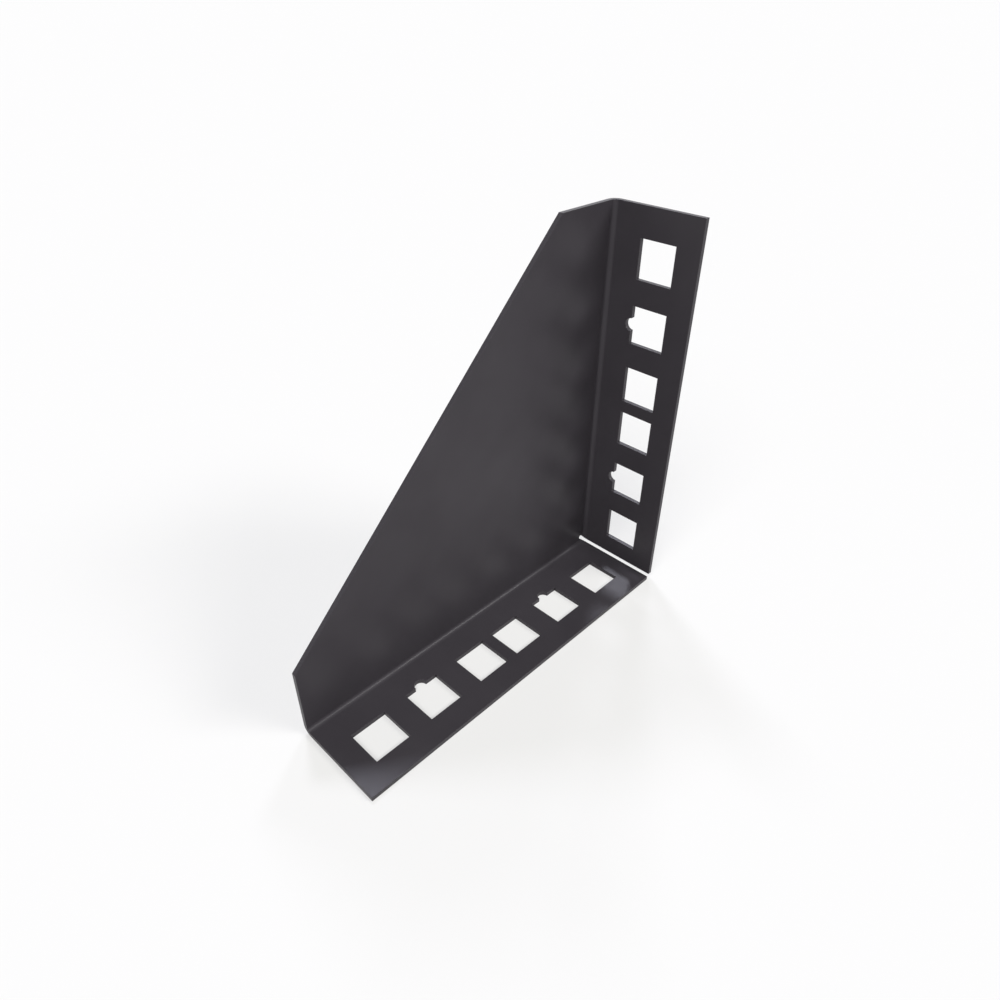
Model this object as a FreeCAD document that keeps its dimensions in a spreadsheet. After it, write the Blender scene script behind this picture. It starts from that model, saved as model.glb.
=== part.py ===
import FreeCAD, Part
import math
import os
import Sketcher

# Wall bracket for rack equipment, folded from one sheet of steel. A flat web carries two
# flanges at right angles: the wall flange lies against the wall and the shelf flange runs
# out from it. Each flange has a row of square rack holes, and the middle hole of every rack
# unit has a round notch in its web side.
#
# The body is drawn with the wall flange flat: X runs from the web across the flanges,
# Y up the wall leg and Z out from the wall. Its placement then stands it on the wall,
# with the origin on the wall face in the middle of the wall flange's row of holes.

# Rack rows: how many units the bracket carries, and the holes in each.
UNITS = 2
HOLES_PER_UNIT = 3

# Driving dimensions in millimetres.
DIMENSIONS = {
    "sheet": (1.2, "thickness of the steel"),
    "bend_radius": (1.2, "inside radius of both folds"),
    "hole_side": (9.5, "square rack hole"),
    "hole_step": (15.875, "hole to hole within a rack unit"),
    "unit_gap": (12.7, "last hole of one unit to the first of the next"),
    "hole_line": (14.0, "web's outer face to the middle of the holes"),
    "edge_margin": (11.0, "middle of the holes to the free edge of the flange"),
    "wall_corner_margin": (11.9, "underside to the lowest wall hole"),
    "wall_end_margin": (11.9, "highest wall hole to the end of the wall leg"),
    "shelf_corner_margin": (12.9, "wall face to the first shelf hole"),
    "shelf_end_margin": (10.9, "last shelf hole to the end of the shelf leg"),
    "wall_tip": (19.5, "wall face to the web's corner at the end of the wall leg"),
    "shelf_tip": (19.5, "underside to the web's corner at the end of the shelf leg"),
    "notch_radius": (1.6, "round notch in the middle hole of a unit"),
    "corner_gap": (0.5, "end of one flange to the inner face of the other"),
    "relief_clearance": (0.05, "room in the corner slot beyond where the two folds would cross"),
    "relief_reach": (0.65, "fold lines to the centre of the corner slot's round end"),
}

# Sizes that follow from the driving dimensions.
OUTER_RADIUS = "(Dimensions.bend_radius + Dimensions.sheet)"
FLANGE_WIDTH = "(Dimensions.hole_line + Dimensions.edge_margin)"
FLANGE_START = "(Dimensions.sheet + Dimensions.corner_gap)"
RACK_UNIT = f"({HOLES_PER_UNIT - 1} * Dimensions.hole_step + Dimensions.unit_gap)"
ROW_LENGTH = f"({UNITS} * {RACK_UNIT} - Dimensions.unit_gap)"
WALL_LEG = f"(Dimensions.wall_corner_margin + {ROW_LENGTH} + Dimensions.wall_end_margin)"
SHELF_LEG = f"(Dimensions.shelf_corner_margin + {ROW_LENGTH} + Dimensions.shelf_end_margin)"
MIDDLE_HOLE = f"({(HOLES_PER_UNIT - 1) // 2} * Dimensions.hole_step)"
FOLD_CROSSING = "max(Dimensions.bend_radius - Dimensions.corner_gap; 0)"
RELIEF_RADIUS = f"({FOLD_CROSSING} * sqrt(0.5) + Dimensions.relief_clearance)"

# Points of a sketch element, and the sketch's own axes and origin, by their numbers there.
START, END, CENTRE = range(1, 4)
ACROSS_AXIS, UPRIGHT_AXIS = range(-1, -3, -1)
ORIGIN = (ACROSS_AXIS, START)
UP = FreeCAD.Vector(0, 0, 1)


def make_sheet(doc):
    """Spreadsheet with one named cell for each driving dimension."""
    sheet = doc.addObject("Spreadsheet::Sheet", "Dimensions")
    for row, (name, (value, meaning)) in enumerate(DIMENSIONS.items(), 1):
        sheet.set(f"A{row}", name)
        sheet.set(f"B{row}", str(value))
        sheet.set(f"C{row}", meaning)
        sheet.setAlias(f"B{row}", name)
    doc.recompute()


def origin_feature(body, role):
    return next(feature for feature in body.Origin.OriginFeatures if feature.Role == role)


def new_sketch(body, name, plane):
    sketch = body.newObject("Sketcher::SketchObject", name)
    sketch.AttachmentSupport = [(origin_feature(body, plane), "")]
    sketch.MapMode = "FlatFace"
    return sketch


def lines_through(sketch, points):
    """Closed rough outline, with its level and upright lines held so; dimensions then shape it."""
    count = len(points)
    first = sketch.GeometryCount
    sides = [(points[i], points[(i + 1) % count]) for i in range(count)]
    for (x, y), (next_x, next_y) in sides:
        line = Part.LineSegment(FreeCAD.Vector(x, y), FreeCAD.Vector(next_x, next_y))
        sketch.addGeometry(line)
    for i, ((x, y), (next_x, next_y)) in enumerate(sides):
        following = first + (i + 1) % count
        sketch.addConstraint(Sketcher.Constraint("Coincident", first + i, END, following, START))
        if x == next_x:
            sketch.addConstraint(Sketcher.Constraint("Vertical", first + i))
        elif y == next_y:
            sketch.addConstraint(Sketcher.Constraint("Horizontal", first + i))


def dimension(sketch, kind, expression, *points):
    """Dimension between sketch points, or of one element, that follows the spreadsheet."""
    indices = [index for point in points for index in point]
    value = float(sketch.evalExpression(expression))
    number = sketch.addConstraint(Sketcher.Constraint(kind, *indices, value))
    sketch.setExpression(f"Constraints[{number}]", expression)


def place(sketch, across, upward, point, base=ORIGIN):
    """Dimensions one sketch point across and up from another."""
    dimension(sketch, "DistanceX", across, base, point)
    dimension(sketch, "DistanceY", upward, base, point)


def pad(body, name, sketch, length, reverse=False):
    feature = body.newObject("PartDesign::Pad", name)
    feature.Profile = sketch
    feature.Reversed = reverse
    feature.setExpression("Length", length)
    body.Document.recompute()


def require_cut(body, name, volume_before):
    """A cut that points off the sheet takes nothing away, and that is an error."""
    if body.Shape.Volume >= volume_before:
        raise RuntimeError(f"{name} cuts nothing")


def pocket(body, name, sketch, length, reverse=False):
    volume_before = body.Shape.Volume
    feature = body.newObject("PartDesign::Pocket", name)
    feature.Profile = sketch
    feature.Reversed = reverse
    feature.setExpression("Length", length)
    body.Document.recompute()
    require_cut(body, name, volume_before)
    return feature


def repeat_units(body, name, cuts, axis):
    """Repeats the cuts of the first rack unit along an origin axis for the other units."""
    volume_before = body.Shape.Volume
    pattern = body.newObject("PartDesign::LinearPattern", name)
    pattern.Originals = cuts
    pattern.Direction = (origin_feature(body, axis), [""])
    pattern.Mode = "Spacing"
    pattern.Occurrences = UNITS
    pattern.setExpression("Offset", RACK_UNIT)
    body.Tip = pattern
    body.Document.recompute()
    if UNITS > 1:
        require_cut(body, name, volume_before)


def draw_web(body):
    """Flat gusset plate between the two fold lines, with square tips and a slanted front."""
    sketch = new_sketch(body, "web_outline", "YZ_Plane")
    rough_outline = [(2, 2), (9, 2), (9, 4), (4, 9), (2, 9)]
    lines_through(sketch, rough_outline)
    corners = [(line, START) for line in range(len(rough_outline))]
    fold_corner, wall_end, wall_tip, shelf_tip, shelf_end = corners
    place(sketch, OUTER_RADIUS, OUTER_RADIUS, fold_corner)
    dimension(sketch, "DistanceX", WALL_LEG, ORIGIN, wall_end)
    dimension(sketch, "DistanceY", "Dimensions.wall_tip", ORIGIN, wall_tip)
    dimension(sketch, "DistanceX", "Dimensions.shelf_tip", ORIGIN, shelf_tip)
    dimension(sketch, "DistanceY", SHELF_LEG, ORIGIN, shelf_end)
    pad(body, "web", sketch, "Dimensions.sheet")


def draw_flange(body, name, plane, leg, direction):
    """Fold and flange as one section, run along the leg.

    The direction is 1 where the leg runs along the plane's normal and -1 where it runs against it.
    """
    sketch = new_sketch(body, name + "_section", plane)
    sketch.setExpression("AttachmentOffset.Base.z", f"{direction} * {FLANGE_START}")
    sheet = float(sketch.evalExpression("Dimensions.sheet"))
    inner = float(sketch.evalExpression("Dimensions.bend_radius"))
    outer = float(sketch.evalExpression(OUTER_RADIUS))
    width = float(sketch.evalExpression(FLANGE_WIDTH))

    straight_lines = [
        ((outer, 0), (width, 0)),
        ((width, 0), (width, sheet)),
        ((width, sheet), (outer, sheet)),
        ((sheet, outer), (0, outer)),
    ]
    for start, end in straight_lines:
        sketch.addGeometry(Part.LineSegment(FreeCAD.Vector(*start), FreeCAD.Vector(*end)))
    outside, edge, inside, fold_end = range(len(straight_lines))
    web_angle, flange_angle = math.radians(180), math.radians(270)
    fold_centre = FreeCAD.Vector(outer, outer)
    outer_circle = Part.Circle(fold_centre, UP, outer)
    inner_circle = Part.Circle(fold_centre, UP, inner)
    outer_fold = sketch.addGeometry(Part.ArcOfCircle(outer_circle, web_angle, flange_angle))
    inner_fold = sketch.addGeometry(Part.ArcOfCircle(inner_circle, web_angle, flange_angle))

    for kind, *ends in (
        ("Coincident", outside, END, edge, START),
        ("Coincident", edge, END, inside, START),
        ("Tangent", inside, END, inner_fold, END),
        ("Coincident", inner_fold, START, fold_end, START),
        ("Coincident", fold_end, END, outer_fold, START),
        ("Tangent", outer_fold, END, outside, START),
        ("Coincident", inner_fold, CENTRE, outer_fold, CENTRE),
        ("Horizontal", outside),
        ("Vertical", edge),
        ("Horizontal", inside),
        ("Horizontal", fold_end),
        ("PointOnObject", outside, START, ACROSS_AXIS),
        ("PointOnObject", fold_end, END, UPRIGHT_AXIS),
        ("Horizontal", outer_fold, START, outer_fold, CENTRE),
    ):
        sketch.addConstraint(Sketcher.Constraint(kind, *ends))
    dimension(sketch, "Radius", "Dimensions.bend_radius", (inner_fold,))
    dimension(sketch, "DistanceY", "Dimensions.sheet", (edge, START), (edge, END))
    dimension(sketch, "DistanceX", FLANGE_WIDTH, ORIGIN, (edge, START))
    pad(body, name, sketch, f"{leg} - {FLANGE_START}", reverse=direction < 0)


def cut_relief(body):
    """Round-ended slot from the outer corner into the web, which keeps the two folds apart."""
    sketch = new_sketch(body, "relief_slot", "YZ_Plane")
    radius = float(sketch.evalExpression(RELIEF_RADIUS))
    slot_end = f"({OUTER_RADIUS} + Dimensions.relief_reach)"
    reach = float(sketch.evalExpression(slot_end))
    corner, far = FreeCAD.Vector(0, 0), FreeCAD.Vector(reach, reach)
    half_width = FreeCAD.Vector(radius, -radius) * math.sqrt(0.5)
    left_angle, right_angle = math.radians(135), math.radians(-45)
    corner_arc = Part.ArcOfCircle(Part.Circle(corner, UP, radius), left_angle, right_angle)
    web_arc = Part.ArcOfCircle(Part.Circle(far, UP, radius), right_angle, left_angle)
    outline = [
        corner_arc,
        Part.LineSegment(corner + half_width, far + half_width),
        web_arc,
        Part.LineSegment(far - half_width, corner - half_width),
    ]
    for element in outline:
        sketch.addGeometry(element)
    for i in range(len(outline)):
        following = (i + 1) % len(outline)
        sketch.addConstraint(Sketcher.Constraint("Tangent", i, END, following, START))
    corner_end, web_end = 0, 2
    sketch.addConstraint(Sketcher.Constraint("Coincident", corner_end, CENTRE, *ORIGIN))
    sketch.addConstraint(Sketcher.Constraint("Equal", corner_end, web_end))
    place(sketch, slot_end, slot_end, (web_end, CENTRE))
    dimension(sketch, "Radius", RELIEF_RADIUS, (web_end,))
    pocket(body, "corner_relief", sketch, OUTER_RADIUS, reverse=True)


def cut_row(body, name, plane, axis, corner_margin, reverse):
    """Row of square holes along a flange, with a notch in the middle hole of each unit."""
    web_side = "(Dimensions.hole_line - Dimensions.hole_side / 2)"
    squares = new_sketch(body, name + "_hole_squares", plane)
    rough_square = [(1, 1), (2, 1), (2, 2), (1, 2)]
    for i in range(HOLES_PER_UNIT):
        first_line = squares.GeometryCount
        lines_through(squares, rough_square)
        low_corner, high_corner = (first_line, START), (first_line + 2, START)
        low_side = f"({corner_margin} + {i} * Dimensions.hole_step - Dimensions.hole_side / 2)"
        place(squares, web_side, low_side, low_corner)
        place(squares, "Dimensions.hole_side", "Dimensions.hole_side", high_corner, low_corner)
    holes = pocket(body, name + "_holes", squares, "Dimensions.sheet", reverse)

    circle = new_sketch(body, name + "_notch_circle", plane)
    rough_circle = Part.Circle(FreeCAD.Vector(1, 1), UP, 1)
    circle.addGeometry(rough_circle)
    place(circle, web_side, f"{corner_margin} + {MIDDLE_HOLE}", (0, CENTRE))
    dimension(circle, "Radius", "Dimensions.notch_radius", (0,))
    notch = pocket(body, name + "_notch", circle, "Dimensions.sheet", reverse)
    repeat_units(body, name + "_row", [holes, notch], axis)


def stand_on_wall(body):
    """Turns the wall flange upright and puts the origin in the middle of its row of holes."""
    quarter_turn = FreeCAD.Rotation(FreeCAD.Vector(1, 0, 0), 90)
    body.Placement = FreeCAD.Placement(FreeCAD.Vector(), quarter_turn)
    body.setExpression("Placement.Base.x", "-Dimensions.hole_line")
    body.setExpression("Placement.Base.z", f"-(Dimensions.wall_corner_margin + {ROW_LENGTH} / 2)")
    body.Document.recompute()


def check(doc, body):
    for item in doc.Objects:
        if "Invalid" in item.State or "Error" in item.State:
            raise RuntimeError(f"{item.Name} did not build: {item.State}")
    if body.Shape.isNull() or not body.Shape.isValid():
        raise RuntimeError(f"{body.Label} has no sound shape")
    if len(body.Shape.Solids) != 1:
        raise RuntimeError(f"{body.Label} is not one piece of sheet")


doc = FreeCAD.newDocument("wall_rack_bracket")
make_sheet(doc)
bracket = doc.addObject("PartDesign::Body", "bracket")
bracket.Label = "bracket"

draw_web(bracket)
draw_flange(bracket, "wall_flange", "XZ_Plane", WALL_LEG, direction=-1)
draw_flange(bracket, "shelf_flange", "XY_Plane", SHELF_LEG, direction=1)
cut_relief(bracket)
cut_row(bracket, "wall", "XY_Plane", "Y_Axis", "Dimensions.wall_corner_margin", reverse=True)
cut_row(bracket, "shelf", "XZ_Plane", "Z_Axis", "Dimensions.shelf_corner_margin", reverse=False)
stand_on_wall(bracket)

check(doc, bracket)
os.makedirs("parts", exist_ok=True)
bracket.Shape.exportStep("parts/bracket.step")
box = bracket.Shape.BoundBox
print(f"bracket: {bracket.Shape.Volume:.1f} cubic mm of steel in {len(bracket.Shape.Faces)} faces")
for axis, low, high in zip("XYZ", (box.XMin, box.YMin, box.ZMin), (box.XMax, box.YMax, box.ZMax)):
    print(f"{axis} from {low:.2f} to {high:.2f} mm")
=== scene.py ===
# %% [markdown]
# # A folded wall bracket for rack equipment
#
# The object is one sheet of steel: a flat web with two flanges folded off it at right angles,
# each with a row of square holes, and the whole thing powder coated black. The measured solid
# comes from the CAD model and fixes every size. This script remakes the bracket the way it is
# made in the workshop, as a thin sheet that is folded, punched and coated, so that its rims are
# softly rounded and its folds are smooth. Then it gives it its coat, a floor, a camera and lamps.
# Lengths are written in millimetres and turned to metres by one factor.

# %% Load the measured solid
import math

import bmesh
import bpy
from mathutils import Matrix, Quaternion, Vector
from mathutils.bvhtree import BVHTree


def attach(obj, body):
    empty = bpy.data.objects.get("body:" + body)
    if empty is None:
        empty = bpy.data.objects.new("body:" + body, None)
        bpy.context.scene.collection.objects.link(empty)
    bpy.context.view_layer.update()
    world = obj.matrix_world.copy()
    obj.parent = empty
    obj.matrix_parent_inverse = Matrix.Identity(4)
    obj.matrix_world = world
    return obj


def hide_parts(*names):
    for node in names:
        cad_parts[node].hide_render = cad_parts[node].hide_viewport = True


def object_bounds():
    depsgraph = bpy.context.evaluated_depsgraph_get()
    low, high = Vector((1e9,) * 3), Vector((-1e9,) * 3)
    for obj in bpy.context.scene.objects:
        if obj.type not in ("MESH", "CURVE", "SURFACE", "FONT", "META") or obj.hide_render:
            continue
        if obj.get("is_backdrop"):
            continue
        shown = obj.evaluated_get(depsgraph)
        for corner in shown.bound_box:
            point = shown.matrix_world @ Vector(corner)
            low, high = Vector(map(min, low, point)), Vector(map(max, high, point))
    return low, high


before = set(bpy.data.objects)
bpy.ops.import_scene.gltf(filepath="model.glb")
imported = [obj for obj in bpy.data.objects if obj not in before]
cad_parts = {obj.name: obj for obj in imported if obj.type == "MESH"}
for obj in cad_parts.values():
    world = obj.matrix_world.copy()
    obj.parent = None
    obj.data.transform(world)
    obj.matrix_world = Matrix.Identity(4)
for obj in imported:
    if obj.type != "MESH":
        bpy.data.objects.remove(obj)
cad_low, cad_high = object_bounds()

MM = 0.001
for name, low, high in zip("XYZ", cad_low, cad_high):
    print(f"solid: {name} from {low / MM:.2f} to {high / MM:.2f} mm")

# %% [markdown]
# ## The sheet's own sizes
#
# The outside of the bracket is read from the solid's box, so it can't drift from the CAD model.
# Only what a box can't say is written here: how thick the steel is, how tightly it is folded,
# and where the holes are punched. The holes follow the spacing of equipment racks. Three holes
# make a rack unit, and two units fill a flange.

# %% Sizes of the sheet and its holes
SHEET = 1.2 * MM
FOLD_INSIDE = 1.2 * MM
FOLD_OUTSIDE = FOLD_INSIDE + SHEET

RACK_UNIT = 44.45 * MM
HOLE_STEP = 15.875 * MM
UNITS_IN_ROW, HOLES_IN_UNIT = 2, 3
WALL_ROW_START = 11.9 * MM
SHELF_ROW_START = 12.9 * MM

web_outside, free_edge = cad_low.x, cad_high.x
wall_face, shelf_end = cad_high.y, cad_low.y
underside, wall_top = cad_low.z, cad_high.z

web_inside = web_outside + SHEET
wall_inside = wall_face - SHEET
shelf_inside = underside + SHEET
fold_x = web_outside + FOLD_OUTSIDE
fold_y = wall_face - FOLD_OUTSIDE
fold_z = underside + FOLD_OUTSIDE

row = [
    unit * RACK_UNIT + step * HOLE_STEP
    for unit in range(UNITS_IN_ROW)
    for step in range(HOLES_IN_UNIT)
]
wall_row = [underside + WALL_ROW_START + along for along in row]
shelf_row = [wall_face - SHELF_ROW_START - along for along in row]
print(f"rows of {len(row)} holes, {(row[-1] - row[0]) / MM:.1f} mm from first to last")

# %% [markdown]
# ## The web
#
# The web is the flat plate that stiffens the bracket. Its outline has five corners, and a short
# slot opens the one where the two folds meet: without that slot the steel would tear when the
# second flange is folded. The slot is just wide enough to keep the folds apart, which depends on
# their radius and on the slit that stays open between the flanges. A single vertex spun half a
# turn draws its round end. Only the inner face of the sheet is drawn for now, because the folds
# are measured on that side, and the thickness is added once everything is cut.

# %% Draw the web's inner face
WEB_TIP = 19.5 * MM
SLIT = 0.5 * MM
SLOT_ROOM = 0.05 * MM
SLOT_REACH = 0.65 * MM
SLOT_STEPS = 12

slot_half_width = (FOLD_INSIDE - SLIT) * math.sqrt(0.5) + SLOT_ROOM
slot_width_on_fold = slot_half_width * math.sqrt(2)
slot_centre = Vector((web_inside, fold_y - SLOT_REACH, fold_z + SLOT_REACH))
slot_side = Vector((0, 1, 1)).normalized() * slot_half_width

bracket_mesh = bmesh.new()
slot_start = bracket_mesh.verts.new(slot_centre + slot_side)
bmesh.ops.spin(
    bracket_mesh,
    geom=[slot_start],
    cent=slot_centre,
    axis=(1, 0, 0),
    angle=math.pi,
    steps=SLOT_STEPS,
)
round_end = list(bracket_mesh.verts)
corners = [
    (fold_y - slot_width_on_fold, fold_z),
    (shelf_end, fold_z),
    (shelf_end, underside + WEB_TIP),
    (wall_face - WEB_TIP, wall_top),
    (fold_y, wall_top),
    (fold_y, fold_z + slot_width_on_fold),
]
corner_points = [bracket_mesh.verts.new((web_inside, y, z)) for y, z in corners]
web = bracket_mesh.faces.new(round_end + corner_points)
print(f"web: {len(web.verts)} corners, {web.calc_area() / MM ** 2:.0f} square mm")

# %% [markdown]
# ## The folds and the flanges
#
# A press brake rolls the sheet round a quarter of a circle, and beyond it the flange runs on flat.
# Spinning the web's edge about the fold's centre line does the same with a mesh, in a few narrow
# strips. The edge that the spin leaves is then extruded out to the free edge. Each flange starts
# a slit away from the other one, so the near ends of the strips are drawn out from the web's slot
# to that slit, a little further on each strip.

# %% Fold both flanges off the web
ACROSS, OUT, UP = range(3)
FOLD_STEPS = 12
TINY = 0.001 * MM


def fold_flange(near_corner, far_corner, run, out, inside, slit_end):
    """Rolls a web edge through a quarter turn, then runs it out flat to the free edge."""
    fold_line = Vector((fold_x, fold_y, fold_z))
    turning = Vector()
    turning[run] = -1
    rolled = bmesh.ops.spin(
        bracket_mesh,
        geom=[bracket_mesh.edges.get((near_corner, far_corner)), near_corner, far_corner],
        cent=fold_line,
        axis=turning,
        angle=math.pi / 2,
        steps=FOLD_STEPS,
    )
    flange_side = inside - fold_line[out]
    slot_level = near_corner.co[run]
    for vert in bracket_mesh.verts:
        roll = (vert.co[out] - fold_line[out]) / flange_side
        at_slot = abs(vert.co[run] - slot_level) < TINY
        if at_slot and roll > 0:
            vert.co[run] += roll * (slit_end - slot_level)
    last_edges = [part for part in rolled["geom_last"] if isinstance(part, bmesh.types.BMEdge)]
    grown = bmesh.ops.extrude_edge_only(bracket_mesh, edges=last_edges)
    tips = [part for part in grown["geom"] if isinstance(part, bmesh.types.BMVert)]
    bmesh.ops.translate(bracket_mesh, verts=tips, vec=(free_edge - fold_x, 0, 0))


shelf_near, shelf_far = corner_points[:2]
wall_far, wall_near = corner_points[-2:]
fold_flange(wall_near, wall_far, UP, OUT, wall_inside, shelf_inside + SLIT)
fold_flange(shelf_near, shelf_far, OUT, UP, shelf_inside, wall_inside - SLIT)
print(f"folded sheet: {len(bracket_mesh.faces)} faces")

# %% [markdown]
# ## The square holes
#
# The holes are punched before the sheet is folded, but the mesh is easier to cut when its flanges
# already stand where they belong. Cutting planes slice it along both sides of the rows and at both
# ends of every hole, and the squares between them are deleted. Each cut runs through the whole
# sheet. One that ended at a fold would leave points in a straight row there, and those turn into
# slivers when the mesh becomes triangles. This way all that is left is a grid of four-sided faces.

# %% Punch the two rows
HOLE = 9.5 * MM
HOLE_HALF = HOLE / 2


def cut_sheet(direction, level):
    """Cuts the whole sheet along a plane square to one axis."""
    point, normal = Vector(), Vector()
    point[direction] = level
    normal[direction] = 1
    sheet = bracket_mesh.verts[:] + bracket_mesh.edges[:] + bracket_mesh.faces[:]
    bmesh.ops.bisect_plane(bracket_mesh, geom=sheet, dist=TINY, plane_co=point, plane_no=normal)


def punch_row(run, out, inside, places):
    """Cuts a row of square holes in a flange, centred on X = 0."""
    for place in places:
        cut_sheet(run, place - HOLE_HALF)
        cut_sheet(run, place + HOLE_HALF)
    slugs = []
    for face in bracket_mesh.faces:
        middle = face.calc_center_median()
        on_flange = abs(middle[out] - inside) < TINY
        in_row = any(abs(middle[run] - place) < HOLE_HALF for place in places)
        if on_flange and in_row and abs(middle.x) < HOLE_HALF:
            slugs.append(face)
    bmesh.ops.delete(bracket_mesh, geom=slugs, context="FACES")
    print(f"punched {len(slugs)} squares")


cut_sheet(ACROSS, -HOLE_HALF)
cut_sheet(ACROSS, HOLE_HALF)
punch_row(UP, OUT, wall_inside, wall_row)
punch_row(OUT, UP, shelf_inside, shelf_row)

# %% [markdown]
# ## The round notches
#
# The middle hole of each rack unit has a small round bite in its web side. The side of the hole is
# cut where the bite begins and ends, the short edge between the cuts is divided evenly, and its
# new points are moved onto a half circle. Dividing one edge keeps the rest of the grid as it is.

# %% Bite a half circle into the middle holes
NOTCH_RADIUS = 1.6 * MM
NOTCH_STEPS = 12


def notch_hole(run, out, inside, place):
    """Turns the middle of a hole's web side into a half circle."""
    cut_sheet(run, place - NOTCH_RADIUS)
    cut_sheet(run, place + NOTCH_RADIUS)
    bite = []
    for edge in bracket_mesh.edges:
        on_flange = all(abs(vert.co[out] - inside) < TINY for vert in edge.verts)
        on_hole = all(abs(vert.co.x + HOLE_HALF) < TINY for vert in edge.verts)
        in_bite = all(abs(vert.co[run] - place) < NOTCH_RADIUS + TINY for vert in edge.verts)
        if on_flange and on_hole and in_bite:
            bite.append(edge)
    divided = bmesh.ops.subdivide_edges(bracket_mesh, edges=bite, cuts=NOTCH_STEPS - 1)
    points = [part for part in divided["geom_inner"] if isinstance(part, bmesh.types.BMVert)]
    for point in points:
        share = (point.co[run] - place + NOTCH_RADIUS) / (2 * NOTCH_RADIUS)
        turn = math.pi * share
        point.co[run] = place - NOTCH_RADIUS * math.cos(turn)
        point.co.x = -HOLE_HALF - NOTCH_RADIUS * math.sin(turn)
    print(f"notch at {place / MM:.1f} mm: {len(bite)} edge, {len(points)} points moved")


middle_holes = slice(HOLES_IN_UNIT // 2, None, HOLES_IN_UNIT)
for wall_place, shelf_place in zip(wall_row[middle_holes], shelf_row[middle_holes]):
    notch_hole(UP, OUT, wall_inside, wall_place)
    notch_hole(OUT, UP, shelf_inside, shelf_place)

# %% [markdown]
# ## The thickness of the steel
#
# So far the bracket is a sheet of paper. Solidify gives it the thickness of the steel. The sheet was
# drawn on its inner side, so the steel has to grow outwards, away from the corner between the
# flanges. Which way that is depends on the normals, so they are made to agree first and turned
# towards the inside of the corner, because solidify grows against them.

# %% Grow the steel outwards
bmesh.ops.recalc_face_normals(bracket_mesh, faces=bracket_mesh.faces)
web_cell = min(bracket_mesh.faces, key=lambda face: face.calc_center_median().x)
if web_cell.normal.x < 0:
    bmesh.ops.reverse_faces(bracket_mesh, faces=bracket_mesh.faces)
bmesh.ops.solidify(bracket_mesh, geom=bracket_mesh.faces[:], thickness=SHEET)
open_edges = sum(not edge.is_manifold for edge in bracket_mesh.edges)
volume = bracket_mesh.calc_volume(signed=True) / MM ** 3
print(f"steel: {volume:.1f} cubic mm, {open_edges} open edges")

# %% [markdown]
# ## The rims under the powder
#
# Punching and cutting leave sharp edges, and the powder that melts over them rounds them off. Those
# thin rounded rims catch the light, and without them the bracket would look like folded card.
# Only edges where the surface turns sharply are bevelled: the narrow strips of the folds, the
# notches and the slot meet at smaller angles and are left alone.

# %% Round the rims
RIM_RADIUS = 0.2 * MM
RIM_STEPS = 3
RIM_ANGLE = math.radians(30)

rims = [edge for edge in bracket_mesh.edges if edge.calc_face_angle() > RIM_ANGLE]
bmesh.ops.bevel(
    bracket_mesh,
    geom=rims,
    offset=RIM_RADIUS,
    offset_type="OFFSET",
    affect="EDGES",
    segments=RIM_STEPS,
    profile=0.5,
    material=-1,
    clamp_overlap=True,
)
print(f"rims: {len(rims)} edges rounded, {len(bracket_mesh.faces)} faces in all")

# %% [markdown]
# ## From the mesh to the piece
#
# The piece takes the place of the CAD node. Smooth shading alone would bend the light on the wide
# flat faces near their rims. The Weighted Normal modifier lets the larger face decide at every
# corner, so the flats stay flat and only the rims and folds look round. The distance from each of
# its points to the solid's surface shows how closely it keeps to the CAD model.

# %% Make the piece and measure it against the solid
bracket_data = bpy.data.meshes.new("coated_bracket")
bracket_mesh.to_mesh(bracket_data)
for polygon in bracket_data.polygons:
    polygon.use_smooth = True
coated_bracket = bpy.data.objects.new("coated_bracket", bracket_data)
bpy.context.scene.collection.objects.link(coated_bracket)
flat_light = coated_bracket.modifiers.new("flat_faces_stay_flat", "WEIGHTED_NORMAL")
flat_light.keep_sharp = True

solid_surface = BVHTree.FromObject(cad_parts["bracket"], bpy.context.evaluated_depsgraph_get())
strays = [solid_surface.find_nearest(vert.co)[3] / MM for vert in bracket_mesh.verts]
print(f"bracket: {len(strays)} points, at most {max(strays):.3f} mm from the solid")
bracket_mesh.free()

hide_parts("bracket")
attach(coated_bracket, "root")

# %% [markdown]
# ## Colours and nodes
#
# Every material below is built from nodes in code. Two helpers keep that short. Colours are written
# as they look on a screen, and a shader wants them linear. A node is added together with its
# settings and its links, so a material reads from top to bottom like a recipe.

# %% Helpers for colours and nodes
def colour(hex_code):
    """An sRGB hex colour as the linear colour that a shader takes."""
    channels = [int(hex_code[start:start + 2], 16) / 255 for start in (1, 3, 5)]
    linear = [c / 12.92 if c <= 0.04045 else ((c + 0.055) / 1.055) ** 2.4 for c in channels]
    return (*linear, 1)


def add_node(tree, kind, inputs, **settings):
    """Adds a node with its settings. An input is a value, or the output that it is linked to."""
    node = tree.nodes.new(kind)
    for name, value in settings.items():
        setattr(node, name, value)
    for name, value in inputs.items():
        if isinstance(value, bpy.types.NodeSocket):
            tree.links.new(value, node.inputs[name])
        else:
            node.inputs[name].default_value = value
    return node


print("mid grey #808080 is", round(colour("#808080")[0], 3), "in linear light")

# %% [markdown]
# ## The powder coat
#
# Black powder coat is a paint that is sprayed on as dry dust and melted in an oven. It flows out
# to a semi-gloss skin that is never quite flat: the grains leave a faint orange peel, with waves
# of a millimetre or two. The eye sees a dark grey that is nearly black, with soft mirror images of
# lamps and bright edges in it. A painted image would need unwrapping and would fix the pattern to
# one size. Noise read from Object coordinates keeps its size in millimetres, so three noises make
# the coat: one for the peel, one for a fine unevenness of the gloss, and one for the slight clouds
# of tone where the powder lies thicker. A resin like this has an IOR near 1.5. The photo shows
# fainter mirror images than that gives over a white floor, so the value is matched to the photo.

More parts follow.
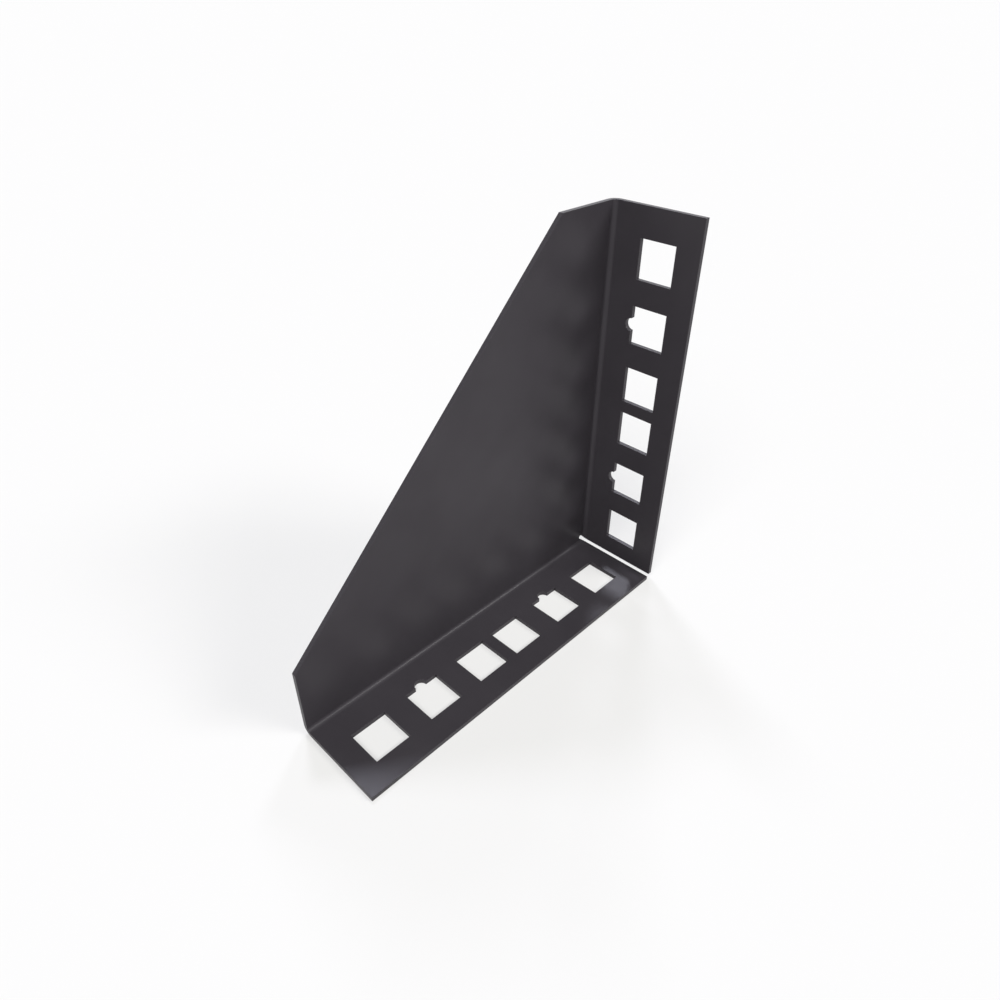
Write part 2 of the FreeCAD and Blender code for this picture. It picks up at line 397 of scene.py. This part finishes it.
# %% Mix the powder coat
PEEL_WAVE = 1.8 * MM
PEEL_HEIGHT = 0.005 * MM
GRAIN_WAVE = 0.5 * MM
CLOUD_SIZE = 14 * MM
COAT_IOR = 1.25
GLOSSIEST, DULLEST = 0.33, 0.37
THIN_POWDER, THICK_POWDER = "#383539", "#3C393D"
NOISE_LOW, NOISE_HIGH = 0.3, 0.7

powder_coat = bpy.data.materials.new("black_powder_coat_semi_gloss")
powder_coat.use_nodes = True
coat_tree = powder_coat.node_tree
coat_tree.nodes.clear()
on_bracket = add_node(coat_tree, "ShaderNodeTexCoord", {}).outputs["Object"]
# The peel is drawn at the coarse end of its real range, because finer waves would not show.
peel = add_node(
    coat_tree,
    "ShaderNodeTexNoise",
    {"Vector": on_bracket, "Scale": 1 / PEEL_WAVE, "Detail": 1.5, "Roughness": 0.4},
)
grain = add_node(
    coat_tree,
    "ShaderNodeTexNoise",
    {"Vector": on_bracket, "Scale": 1 / GRAIN_WAVE, "Detail": 1.0},
)
clouds = add_node(
    coat_tree,
    "ShaderNodeTexNoise",
    {"Vector": on_bracket, "Scale": 1 / CLOUD_SIZE, "Detail": 2.0},
)
tone = add_node(coat_tree, "ShaderNodeValToRGB", {"Fac": clouds.outputs["Fac"]})
thin, thick = tone.color_ramp.elements
thin.position, thick.position = NOISE_LOW, NOISE_HIGH
thin.color, thick.color = colour(THIN_POWDER), colour(THICK_POWDER)
gloss = add_node(
    coat_tree,
    "ShaderNodeMapRange",
    {
        "Value": grain.outputs["Fac"],
        "From Min": NOISE_LOW,
        "From Max": NOISE_HIGH,
        "To Min": GLOSSIEST,
        "To Max": DULLEST,
    },
)
skin = add_node(
    coat_tree,
    "ShaderNodeBump",
    {"Height": peel.outputs["Fac"], "Strength": 1.0, "Distance": PEEL_HEIGHT},
)
coat = add_node(
    coat_tree,
    "ShaderNodeBsdfPrincipled",
    {
        "Base Color": tone.outputs["Color"],
        "Roughness": gloss.outputs["Result"],
        "IOR": COAT_IOR,
        "Normal": skin.outputs["Normal"],
    },
)
add_node(coat_tree, "ShaderNodeOutputMaterial", {"Surface": coat.outputs["BSDF"]})
coated_bracket.data.materials.append(powder_coat)
print(f"coat: {len(coat_tree.nodes)} nodes, peel waves of {PEEL_WAVE / MM:.1f} mm")

# %% [markdown]
# ## The floor
#
# The bracket stands on its shelf flange on a white studio floor. A floor that is lit to full white
# would need lamps that are too strong for the bracket, so part of its white is its own: rays from
# the camera, and rays that a glossy or clear surface sends out, see a floor that glows a little.
# Rays that carry light to the bracket see plain pale paint, so no extra light comes from this, and
# the shadow stays. Two of the lamps are a little cool, so the paint is a little warm.

# %% Lay the floor and paint it
FLOOR_HALF = 12000 * MM
FLOOR_GAP = 0.02 * MM
FLOOR_OWN_WHITE = 0.5
FLOOR_PAINT = "#DDDCD9"
WHITE = "#FFFFFF"


def seen_directly(tree):
    """One for rays from the camera or off a glossy or clear surface, and nought for the rest."""
    path = add_node(tree, "ShaderNodeLightPath", {})
    shown = path.outputs["Is Camera Ray"]
    for ray in ("Is Glossy Ray", "Is Transmission Ray"):
        either = add_node(
            tree, "ShaderNodeMath", {0: shown, 1: path.outputs[ray]}, operation="MAXIMUM"
        )
        shown = either.outputs["Value"]
    return shown


floor_mesh = bmesh.new()
bmesh.ops.create_grid(floor_mesh, x_segments=1, y_segments=1, size=FLOOR_HALF)
bmesh.ops.translate(floor_mesh, verts=floor_mesh.verts, vec=(0, 0, underside - FLOOR_GAP))
floor_data = bpy.data.meshes.new("studio_floor")
floor_mesh.to_mesh(floor_data)
floor_mesh.free()
studio_floor = bpy.data.objects.new("studio_floor", floor_data)
bpy.context.scene.collection.objects.link(studio_floor)
studio_floor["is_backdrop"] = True

floor_paint = bpy.data.materials.new("matt_white_floor_paint")
floor_paint.use_nodes = True
floor_tree = floor_paint.node_tree
floor_tree.nodes.clear()
own_white = add_node(
    floor_tree,
    "ShaderNodeMath",
    {0: seen_directly(floor_tree), 1: FLOOR_OWN_WHITE},
    operation="MULTIPLY",
)
paint = add_node(floor_tree, "ShaderNodeBsdfDiffuse", {"Color": colour(FLOOR_PAINT)})
glow = add_node(floor_tree, "ShaderNodeEmission", {"Color": colour(WHITE), "Strength": 1.0})
floor_mix = add_node(
    floor_tree,
    "ShaderNodeMixShader",
    {0: own_white.outputs["Value"], 1: paint.outputs["BSDF"], 2: glow.outputs["Emission"]},
)
add_node(floor_tree, "ShaderNodeOutputMaterial", {"Surface": floor_mix.outputs["Shader"]})
studio_floor.data.materials.append(floor_paint)
print(f"floor {2 * FLOOR_HALF:.0f} m wide, {FLOOR_OWN_WHITE:.0%} of its white its own")

# %% [markdown]
# ## The room
#
# Around the floor is an even white sky, the studio's walls and ceiling. It is seen as bright as the
# open floor, so that no horizon shows, but it sends only a little light to the bracket. The lamps
# can then shape the light, and the shadows on the floor stay soft.

# %% Fill the room with even light
SKY_SEEN = 0.98
SKY_ON_BRACKET = 0.06

room = bpy.data.worlds.new("white_studio")
bpy.context.scene.world = room
room.use_nodes = True
room_tree = room.node_tree
room_tree.nodes.clear()
sky_level = add_node(
    room_tree,
    "ShaderNodeMath",
    {0: seen_directly(room_tree), 1: SKY_SEEN - SKY_ON_BRACKET, 2: SKY_ON_BRACKET},
    operation="MULTIPLY_ADD",
)
white_sky = add_node(
    room_tree,
    "ShaderNodeBackground",
    {"Color": colour(WHITE), "Strength": sky_level.outputs["Value"]},
)
add_node(room_tree, "ShaderNodeOutputWorld", {"Surface": white_sky.outputs["Background"]})
print(f"room: seen at {SKY_SEEN}, lights the bracket at {SKY_ON_BRACKET}")

# %% [markdown]
# ## The camera
#
# The camera stands where the photo was taken from: in front, to the right and above, close
# enough for strong perspective. Its place and its lens come from fitting a pinhole camera to the
# edges of the flanges and their holes, and the sensor is held nearly level.

# %% Set up the camera
CAMERA_EYE = Vector((91.07, -144.52, 90.19)) * MM
CAMERA_AIM = Vector((0.0, -51.15, -2.60)) * MM
CAMERA_ROLL = math.radians(0.44)
CAMERA_LENS = 26.27
CAMERA_SENSOR = 36
NEAREST, FURTHEST = 1 * MM, 20000 * MM

camera_data = bpy.data.cameras.new("photo_camera")
camera_data.sensor_width = CAMERA_SENSOR
camera_data.lens = CAMERA_LENS
camera_data.clip_start = NEAREST
camera_data.clip_end = FURTHEST
photo_camera = bpy.data.objects.new("photo_camera", camera_data)
looking = (CAMERA_AIM - CAMERA_EYE).to_track_quat("-Z", "Y")
levelled = looking @ Quaternion((0, 0, 1), CAMERA_ROLL)
photo_camera.rotation_euler = levelled.to_euler()
photo_camera.location = CAMERA_EYE
bpy.context.scene.collection.objects.link(photo_camera)
bpy.context.scene.camera = photo_camera
bpy.context.scene.view_settings.view_transform = "Standard"
print(f"camera {(CAMERA_AIM - CAMERA_EYE).length / MM:.0f} mm from its aim, lens {CAMERA_LENS} mm")

# %% [markdown]
# ## The lamps
#
# A dark gloss shows a lamp only where the camera's look, mirrored in the surface, meets it. So the
# small lamps are placed by mirror. One is seen in the strip along the shelf's free edge, at its
# front end, where it shines over the web's slanted edge. One is seen at the other end of that strip,
# through the lowest hole of the wall flange. A fold mirrors a look only across its length, so a
# row of three lamps draws the thin bright line along the shelf's fold. A wide fill lamp, above the
# camera and to its left, lights all three inner faces, and its shadow falls behind the bracket. Sun
# lamps with a wide angle are as even as softboxes, and their strength doesn't change with distance.

# %% Hang the lamps where the coat mirrors them
COOL_WHITE = "#EEF0FF"
FOLD_LAMP_RISE = math.radians(42)
FILL_FROM = Vector((0.33, -0.57, 0.75))


def hang_lamp(name, comes_from, level, width, hex_code):
    """A wide sun lamp. Level 1 lights white paint that faces it to full white."""
    lamp = bpy.data.lights.new(name, "SUN")
    lamp.energy = math.pi * level
    lamp.angle = math.radians(width)
    lamp.color = colour(hex_code)[:3]
    stand = bpy.data.objects.new(name, lamp)
    stand.rotation_euler = comes_from.to_track_quat("Z", "Y").to_euler()
    bpy.context.scene.collection.objects.link(stand)
    print(f"{name}: from {[round(side, 2) for side in comes_from]}, level {level}")


def seen_in_shelf(x, y):
    """Where a look from the camera goes on to from a point of the shelf flange."""
    look = (Vector((x, y, shelf_inside)) - CAMERA_EYE).normalized()
    look.z = -look.z
    return look


def seen_in_shelf_fold(y):
    """A direction over the free edges that the shelf's fold mirrors to the camera."""
    look = (Vector((fold_x, y, fold_z)) - CAMERA_EYE).normalized()
    across = math.sqrt(1 - look.y ** 2)
    return Vector((across * math.cos(FOLD_LAMP_RISE), look.y, across * math.sin(FOLD_LAMP_RISE)))


strip_middle = (HOLE_HALF + free_edge) / 2
over_web = seen_in_shelf(strip_middle, shelf_end)
through_hole = seen_in_shelf(strip_middle, shelf_row[0])
hang_lamp("tip_lamp", over_web, level=0.33, width=10, hex_code=COOL_WHITE)
hang_lamp("corner_lamp", through_hole, level=0.22, width=10, hex_code=COOL_WHITE)
every_second_hole = shelf_row[1::2]
for number, y in enumerate(every_second_hole, start=1):
    hang_lamp(f"fold_lamp_{number}", seen_in_shelf_fold(y), level=0.18, width=14, hex_code=WHITE)
hang_lamp("fill_lamp", FILL_FROM, level=0.80, width=40, hex_code=WHITE)

# %% [markdown]
# ## The size of the visual model
#
# The visual model has to keep the CAD model's size. Its box is printed here, as the solid's
# box was at the start.

# %% Print the visual box
bpy.context.view_layer.update()
low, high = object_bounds()
print("visual box, mm:", [round(side / MM, 2) for side in (high - low)])
